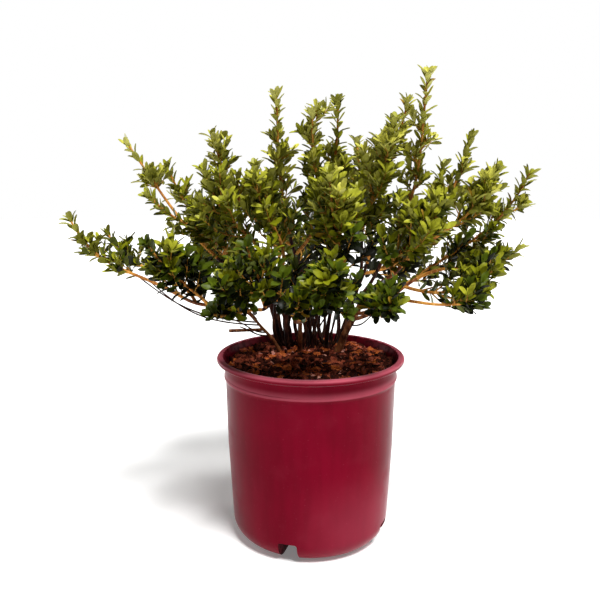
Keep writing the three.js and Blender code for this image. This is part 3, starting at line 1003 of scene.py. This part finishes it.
def barkSkin(limb, seed, sunk):
    # rings of points along the limb, closed at both ends, the far end rounded
    sides = barkRelief["sides"]
    count = max(10, int(limb.length / barkRelief["step"]))
    across = sideways
    rings = []
    for ring in range(count + 1):
        t = ring / count
        centre = limb.point(t)
        along = limb.tangent(t)
        if abs(along.dot(across)) > 0.95:
            across = np.array([0.0, 1.0, 0.0])
        across = squareTo(along, across)
        side = np.cross(along, across)
        run = t * limb.length
        radius = limb.radiusAt(t) * (1 + knotRise(run, seed))
        for corner in range(sides):
            angle = 2 * math.pi * corner / sides
            rise = 1 + barkRise("lumps", angle, run, seed) + barkRise("ridges", angle, run, seed)
            out = across * math.cos(angle) + side * math.sin(angle)
            rings.append(centre + out * radius * rise)
    startCap = limb.point(0) - limb.tangent(0) * sunk
    endCap = limb.point(1) + limb.tangent(1) * 0.3
    points = [startCap, *rings, endCap]
    faces = []
    last = len(points) - 1
    for corner in range(sides):
        after = (corner + 1) % sides
        faces.append((0, 1 + after, 1 + corner))
        for ring in range(count):
            low = 1 + ring * sides
            faces.append((low + corner, low + after, low + sides + after, low + sides + corner))
        top = 1 + count * sides
        faces.append((top + corner, top + after, last))
    return points, faces


def barkPiece(name, kind):
    points = []
    faces = []
    for order, one in enumerate(limbs + bareShoots):
        if one["bark"] != kind:
            continue
        end = "stem" if one["name"].startswith("stem") else "other"
        skinPoints, skinFaces = barkSkin(one["limb"], order + 1, barkRelief["sunk"][end])
        base = len(points)
        points += [tuple(point) for point in skinPoints]
        faces += [tuple(base + i for i in face) for face in skinFaces]
    return smoothed(meshPiece(name, points, faces), 75)


def woodFinish(name, deep, middle, pale, grainSize=2.4):
    finish = Finish(name, {"Specular IOR Level": 0.12})
    patch = finish.step(finish.grain(14, detail=3), 0.38, 0.64)
    colour = finish.blend(patch, deep, middle)
    streak = finish.step(finish.grain(grainSize, detail=4, stretch=(1, 1, 0.28)), 0.5, 0.7)
    finish.feed("Base Color", finish.blend(streak * 0.75, colour, pale))
    finish.feed("Roughness", 0.62 + 0.25 * patch)
    finish.feed("Normal", finish.bump(finish.grain(grainSize * 0.4, detail=4, stretch=(1, 1, 0.35)), 0.3))
    return finish.material


# The dark bark goes on the stems further back, on the wands and on the thin shoots under the crown. Its
# darker colours, against the warm bark of the front stems, are painted shade.
woodColours = {
    "dark": (srgb(22, 4, 3), srgb(54, 22, 14), srgb(104, 64, 42)),
    "warm": (srgb(74, 34, 20), srgb(132, 78, 44), srgb(170, 118, 76)),
    "young": (srgb(154, 92, 36), srgb(200, 138, 60), srgb(216, 168, 92)),
    "green": (srgb(142, 98, 34), srgb(188, 136, 54), srgb(206, 162, 84)),
}
for kind in ("dark", "warm"):
    bark = barkPiece(kind + "_bark", kind)
    bark.data.materials.append(woodFinish(kind + "_old_bark", *woodColours[kind]))
    handOver(bark, [one["name"] for one in limbs if one["bark"] == kind])
    print(bark.name, "made:", len(bark.data.polygons), "faces")


# Young wood and leaves grow on by the plan's rule: side twigs all round each leader, sprigs
# on the twigs, leaves on all of them, each shoot in a space of its own.

leaderLines = np.array([one["limb"].line for one in leaders])
limbLines = np.array([one["limb"].line for one in limbs])
limbReach = np.array([one["limb"].radiusAt(0) + growth["limbClearance"] for one in limbs])


def distancesTo(lines, points):
    # from each point to each line
    starts = lines[:, :-1]
    along = lines[:, 1:] - starts
    offset = points[:, None, None] - starts[None]
    share = (offset * along[None]).sum(-1) / (along ** 2).sum(-1)[None]
    away = offset - np.clip(share, 0, 1)[..., None] * along[None]
    return np.sqrt((away ** 2).sum(-1)).min(-1)


def keepsToSpace(points, own, margin):
    toLeaders = distancesTo(leaderLines, points)
    reach = toLeaders[:, own] + margin
    toLeaders[:, own] = np.inf
    alone = (toLeaders > reach[:, None]).all(1)
    clear = (distancesTo(limbLines, points) > limbReach).all(1)
    return alone & clear & (points[:, 2] > growth["lowest"])


def awayFrom(twig, t, turn, lean):
    # a place on a twig, a direction that leans away from it, and that direction's upper side
    along = twig.tangent(t)
    across = squareTo(along, sideways)
    outward = across * math.cos(turn) + np.cross(along, across) * math.sin(turn)
    direction = along * math.cos(lean) + outward * math.sin(lean)
    upper = along * math.sin(lean) - outward * math.cos(lean)
    return twig.point(t), direction, upper


def growSide(parent, order, count, span, length, radii, rand):
    share = (order + rand.random()) / count
    t = span[0] + (span[1] - span[0]) * share
    lean = chance(growth["lean"], rand)
    start, direction = awayFrom(parent, t, order * goldenTurn + rand.random(), lean)[:2]
    longer = length * (1 - growth["shorter"] * t) * chance(growth["lengths"], rand)
    arrive = turnedUp(direction, branching["twigLift"])
    end = start + direction * longer / 2 + arrive * longer / 2
    return Limb(start, direction, end, arrive, radii)


def growLeaf(twig, t, turn, lean, sizes, share, rand):
    root, direction, upper = awayFrom(twig, t, turn, lean)
    size = chance(sizes, rand)
    return {"root": root, "direction": direction, "upper": upper, "size": size, "share": share}


def growLeaves(twig, own, leafy, spacing, rand):
    # the leaves of one twig that keep to the shoot's space. share is 0 at the twig's end
    count = max(4, int(twig.length * leafy / spacing))
    leaves = []
    splay = chance(growth["splay"], rand)
    for order in range(count):
        share = order / count
        t = min(1 - leafy * share ** growth["crowding"], growth["lastLeaf"])
        lean = splay + growth["splayBack"] * share + growth["splayChance"] * rand.random()
        turn = order * goldenTurn + growth["leafTurn"] * rand.random()
        leaves.append(growLeaf(twig, t, turn, lean, growth["leafSize"], share, rand))
    for order in range(growth["heartLeaves"]):
        lean = chance(growth["heartSplay"], rand)
        turn = order * growth["heartTurn"] + rand.random()
        leaves.append(growLeaf(twig, growth["heartPlace"], turn, lean, growth["heartSize"], 0.0, rand))
    roots = np.array([leaf["root"] for leaf in leaves])
    tips = roots + np.array([leaf["direction"] * leaf["size"] * leafShape["length"] for leaf in leaves])
    middles = (roots + tips) / 2
    free = keepsToSpace(tips, own, growth["leafMargin"]) & keepsToSpace(middles, own, 0)
    return [leaf for leaf, kept in zip(leaves, free) if kept]


def keepsIn(twig, own):
    return keepsToSpace(twig.line[2:], own, growth["twigMargin"]).all()


def growShoot(own, leader, habit, rand):
    bushy, leafyFrom, twigsTo = habit
    twigs = [(leader, "leader")]
    count = round(growth["twigs"] * (0.4 + 0.6 * bushy))
    length = growth["twigLength"] * bushy
    sprigCount = growth["sprigsPerTwig"]
    sprigSpan = (growth["sprigFrom"], growth["sprigTo"])
    for order in range(count):
        twig = growSide(leader, order, count, (leafyFrom, twigsTo), length, woodRadii["twig"], rand)
        if not keepsIn(twig, own):
            continue
        twigs.append((twig, "twig"))
        for sprigOrder in range(sprigCount):
            how = (sprigOrder, sprigCount, sprigSpan, growth["sprigLength"], woodRadii["sprig"])
            sprig = growSide(twig, *how, rand)
            if keepsIn(sprig, own):
                twigs.append((sprig, "sprig"))
    spacing = growth["leafSpacing"] / min(1, 0.5 + 0.5 * bushy)
    sprays = [growLeaves(twig, own, growth["leafyShare"], spacing, rand) for twig, kind in twigs[1:]]
    sprays.append(growLeaves(leader, own, 1 - leafyFrom, spacing, rand))
    return twigs, sprays


def growAll():
    twigs = []
    sprays = []
    for own, one in enumerate(leaders):
        habit = habits.get(one["name"][len("foliage_"):], commonHabit)
        grownTwigs, grownSprays = growShoot(own, one["limb"], habit, random.Random(growth["seed"] + own))
        twigs += grownTwigs
        sprays += grownSprays
    return twigs, sprays


twigs, sprays = growAll()
print("shoots grown:", len(twigs), "twigs,", sum(len(spray) for spray in sprays), "leaves")


def twigTree():
    tree = NodeTree("round_twigs", {"Sides": "Int", "Material": "Material"})
    line = tree.value("GeometryNodeMeshToCurve", None, {"Mesh": tree.given("Geometry")})
    thickness = tree.attribute("thickness", "FLOAT")
    sockets = {"Resolution": tree.given("Sides"), "Radius": 1.0}
    ring = tree.value("GeometryNodeCurvePrimitiveCircle", None, sockets)
    sockets = {"Curve": line, "Profile Curve": ring, "Scale": thickness, "Fill Caps": True}
    tree.close(tree.value("GeometryNodeCurveToMesh", None, sockets))
    return tree


def twigPiece(name, tree, kinds, step, sides, material):
    points = []
    edges = []
    radii = []
    for twig, kind in twigs:
        if kind not in kinds:
            continue
        count = max(4, int(twig.length / step))
        base = len(points)
        points += [tuple(point * mm) for point in twig.points(count)]
        radii += [twig.radiusAt(i / (count - 1)) * mm for i in range(count)]
        edges += [(base + i, base + i + 1) for i in range(count - 1)]
    mesh = bpy.data.meshes.new(name)
    mesh.from_pydata(points, edges, [])
    addAttribute(mesh, "thickness", "FLOAT", radii)
    piece = tree.applyTo(placed(name, mesh), {"Sides": sides, "Material": material})
    return smoothed(piece, 60)


woodPlan = {
    "young_wood": {
        "kinds": ("leader",), "step": 9, "sides": 7, "finish": "young_orange_wood", "colours": "young",
    },
    "green_wood": {
        "kinds": ("twig", "sprig"), "step": 8, "sides": 5, "finish": "tan_green_wood", "colours": "green",
    },
}
foliageNodes = [one["name"] for one in leaders]
roundTwigs = twigTree()
for name, plan in woodPlan.items():
    finish = woodFinish(plan["finish"], *woodColours[plan["colours"]], grainSize=1.6)
    piece = twigPiece(name, roundTwigs, plan["kinds"], plan["step"], plan["sides"], finish)
    handOver(piece, foliageNodes)
    print(piece.name, "made:", len(piece.data.polygons), "faces")


def bladeMesh(curl):
    # a closed leaf that points along X, its upper side up, folded at the midrib and bent down
    stations = (0.1, 0.3, 0.55, 0.78, 0.93)
    length = leafShape["length"]

    def place(share, across, rise):
        bend = curl * share
        x = length * math.sin(bend) / curl + rise * math.sin(bend)
        z = length * (math.cos(bend) - 1) / curl + rise * math.cos(bend)
        return (x, across, z)

    # the root, the tip, then four points for each station: edge, midrib, edge and keel
    points = [place(0, 0, 0), place(1, 0, 0)]
    for share in stations:
        bulge = math.sin(math.pi * share ** leafShape["fullPart"]) ** leafShape["fullness"]
        half = leafShape["width"] / 2 * bulge
        edge = half * leafShape["fold"]
        points += [place(share, half, edge), place(share, 0, 0), place(share, -half, edge)]
        points.append(place(share, 0, -leafShape["thickness"]))
    first = 2
    last = len(points) - 4
    faces = [(0, first + 1, first), (0, first + 2, first + 1)]
    faces += [(0, first, first + 3), (0, first + 3, first + 2)]
    for a in range(first, last, 4):
        b = a + 4
        faces += [(a, a + 1, b + 1, b), (a + 1, a + 2, b + 2, b + 1)]
        faces += [(a + 3, a, b, b + 3), (a + 2, a + 3, b + 3, b + 2)]
    faces += [(1, last, last + 1), (1, last + 1, last + 2), (1, last + 3, last), (1, last + 2, last + 3)]
    blade = meshPiece("leaf_blade", points, faces)
    keels = set(range(first + 3, len(points), 4))
    underside = [not keels.isdisjoint(face) for face in faces]
    addAttribute(blade.data, "underside", "BOOLEAN", underside, "FACE")
    return smoothed(blade, 80)


bladeLabels = ("Flat Blade", "Bent Blade", "Curled Blade")


def leafTree():
    blades = {label: "Object" for label in bladeLabels}
    tree = NodeTree("leaves", {**blades, "Underside": "Material", "Material": "Material"})
    join = tree.node("GeometryNodeGeometryToInstance")
    for label in reversed(bladeLabels):
        info = tree.value("GeometryNodeObjectInfo", None, {"Object": tree.given(label)}, output=4)
        tree.link(info, join.inputs[0])
    read = {name: tree.attribute(name, kind) for name, kind in leafAttributes.items()}
    axes = {"primary_axis": "X", "secondary_axis": "Z"}
    sockets = {"Primary Axis": read["direction"], "Secondary Axis": read["upper"]}
    turn = tree.value("FunctionNodeAxesToRotation", axes, sockets)
    sockets = {
        "Points": tree.given("Geometry"),
        "Instance": Sock(tree, join.outputs[0]),
        "Pick Instance": True,
        "Instance Index": read["blade"],
        "Rotation": turn,
        "Scale": read["size"],
    }
    leaves = tree.value("GeometryNodeInstanceOnPoints", None, sockets)
    tree.close(leaves, tree.attribute("underside", "BOOLEAN"))
    return tree


# Each tint: the leaf's upper side and its paler underside, as plain base colours.
leafTints = {
    "tip": (srgb(186, 183, 78), srgb(182, 179, 94)),
    "fresh": (srgb(154, 155, 42), srgb(152, 151, 62)),
    "olive": (srgb(116, 119, 14), srgb(118, 118, 34)),
    "green": (srgb(69, 82, 9), srgb(74, 81, 24)),
    "deep": (srgb(14, 21, 3), srgb(22, 25, 7)),
    "turning": (srgb(146, 116, 34), srgb(138, 108, 50)),
}
leafRoughness = {"upper": 0.36, "under": 0.6}


def leafFinish(name, colour, leastRoughness):
    finish = Finish(name, {"Specular IOR Level": 0.22})
    mottle = finish.step(finish.grain(6, detail=2), 0.3, 0.7)
    light = tuple(min(1, 1.22 * v) for v in colour)
    dark = tuple(0.8 * v for v in colour)
    finish.feed("Base Color", finish.blend(mottle, dark, light))
    finish.feed("Roughness", leastRoughness + 0.12 * mottle)
    finish.feed("Normal", finish.bump(finish.grain(1.4, detail=2), 0.06))
    return finish.material


# The tints go by place: a spray in the crown's middle or low down takes a darker tint, which is painted
# shade, and one high up or far out takes a brighter tint, which is painted light. The greener low leaves
# and the yellower young tips are partly the leaves' own colour.
tintRule = {
    "scale": ["deep", "green", "olive", "fresh", "tip"],
    "heart": (0, 20, 320),          # the crown's shaded middle and its reach each way
    "reach": (270, 320, 240),
    "outer": 0.27,                  # how much a place far out, and a place high up, brightens
    "high": 0.7,
    "heights": (300, 260),          # where high begins, and over what rise it is full
    "chance": 0.3,
    "below": (0.24, 0.36, 0.57, 0.78),  # what each tint but the brightest stays under
    "topmost": 0.3,                 # share of a spray that takes the next brighter tint
    "turning": 0.004,               # share of single leaves that have turned brown
    "seed": 5,
}


def brightnessOf(spray, luck):
    root = np.mean([leaf["root"] for leaf in spray], axis=0)
    outer = float(np.linalg.norm((root - tintRule["heart"]) / tintRule["reach"]))
    low, rise = tintRule["heights"]
    height = (root[2] - low) / rise
    return tintRule["outer"] * outer + tintRule["high"] * height + tintRule["chance"] * (luck - 0.5)


def dealLeaves():
    # each spray takes its own tint by place, darker for painted shade and brighter for painted light, and
    # its topmost leaves the next brighter one
    scale = tintRule["scale"]
    dealt = {name: [] for name in leafTints}
    rand = random.Random(tintRule["seed"])
    for spray in sprays:
        if not spray:
            continue
        level = int(np.searchsorted(tintRule["below"], brightnessOf(spray, rand.random())))
        for leaf in spray:
            tint = scale[min(level + (leaf["share"] < tintRule["topmost"]), len(scale) - 1)]
            if rand.random() < tintRule["turning"]:
                tint = "turning"
            dealt[tint].append({**leaf, "blade": rand.randrange(len(bladeLabels))})
    return dealt


def leafPiece(name, tree, leaves, values):
    mesh = bpy.data.meshes.new(name)
    mesh.from_pydata([tuple(leaf["root"] * mm) for leaf in leaves], [], [])
    for attribute, kind in leafAttributes.items():
        addAttribute(mesh, attribute, kind, np.ravel([leaf[attribute] for leaf in leaves]))
    return tree.applyTo(placed(name, mesh), values)


blades = [bladeMesh(curl) for curl in leafShape["curls"]]
bladeInputs = dict(zip(bladeLabels, blades))
leavesTree = leafTree()
for tint, leaves in dealLeaves().items():
    upper = leafFinish(tint + "_leaf", leafTints[tint][0], leafRoughness["upper"])
    under = leafFinish(tint + "_leaf_underside", leafTints[tint][1], leafRoughness["under"])
    values = {**bladeInputs, "Underside": under, "Material": upper}
    piece = leafPiece("leaves_" + tint, leavesTree, leaves, values)
    handOver(piece, foliageNodes)
    print(piece.name, "made:", len(leaves), "leaves,", len(piece.data.polygons), "faces")
dropped(blades)


# The studio: a pale floor, a pale surround, soft lights and the camera.

studio = {
    "floorRadius": 5.0,
    "floorColour": srgb(250, 250, 249),
    "floorGlow": 0.18,              # keeps the shadow pale
    "surround": (1.0, 1.0, 1.0),
    "surroundStrength": 1.0,
    "ambient": 0.05,
    "sun": {"from": (0.3, -0.5, 1.2), "strength": 5.4, "angle": 22},
    "cameraPlace": (-0.0129, -0.870, 0.467),
    "cameraPitch": 11.15,
    "lens": 44.04,
    "target": (0.0, 0.0, 0.3),
    "lights": [
        {"name": "rightStrip", "place": (1.15, 0.7, 0.35), "size": 0.6, "power": 6},
        {"name": "leftStrip", "place": (-1.1, 0.8, 0.35), "size": 0.4, "power": 4},
    ],
}


def makeFloor():
    count = 96
    radius = studio["floorRadius"] / mm
    angles = [2 * math.pi * turn / count for turn in range(count)]
    points = [(0, 0, 0)] + [(radius * math.cos(angle), radius * math.sin(angle), 0) for angle in angles]
    faces = [(0, 1 + turn, 1 + (turn + 1) % count) for turn in range(count)]
    floor = meshPiece("floor", points, faces)
    glow = {"Emission Color": (1, 1, 1, 1), "Emission Strength": studio["floorGlow"]}
    finish = Finish("pale_floor", {"Roughness": 0.7, "Specular IOR Level": 0.2, **glow})
    tone = finish.grain(120, detail=2)
    pale = studio["floorColour"]
    finish.feed("Base Color", finish.blend(tone, pale, tuple(0.985 * v for v in pale)))
    floor.data.materials.append(finish.material)


def makeSurround():
    world = bpy.data.worlds.new("pale_surround")
    bpy.context.scene.world = world
    world.use_nodes = True
    maker = NodeMaker(world.node_tree)
    back = world.node_tree.nodes["Background"]
    back.inputs["Color"].default_value = (*studio["surround"], 1)
    seen = maker.value("ShaderNodeLightPath")
    strength = studio["ambient"] + (studio["surroundStrength"] - studio["ambient"]) * seen
    maker.link(strength, back.inputs["Strength"])


def addLamp(name, kind, power, way):
    light = bpy.data.lights.new(name, kind)
    light.energy = power
    lamp = placed(name, light)
    lamp.rotation_euler = way.to_track_quat("-Z", "Y").to_euler()
    return lamp


def makeLights():
    plan = studio["sun"]
    sun = addLamp("sun", "SUN", plan["strength"], -Vector(plan["from"]))
    sun.data.angle = math.radians(plan["angle"])
    for plan in studio["lights"]:
        way = Vector(studio["target"]) - Vector(plan["place"])
        lamp = addLamp(plan["name"], "AREA", plan["power"], way)
        lamp.data.shape = "DISK"
        lamp.data.size = plan["size"]
        lamp.location = plan["place"]
        lamp.visible_camera = False


def makeCamera():
    camera = placed("camera", bpy.data.cameras.new("camera"))
    camera.data.lens = studio["lens"]
    camera.location = studio["cameraPlace"]
    camera.rotation_euler = (math.radians(90 - studio["cameraPitch"]), 0, 0)
    bpy.context.scene.camera = camera


makeFloor()
makeSurround()
makeLights()
makeCamera()
bpy.context.scene.view_settings.view_transform = "Standard"
print("studio made")
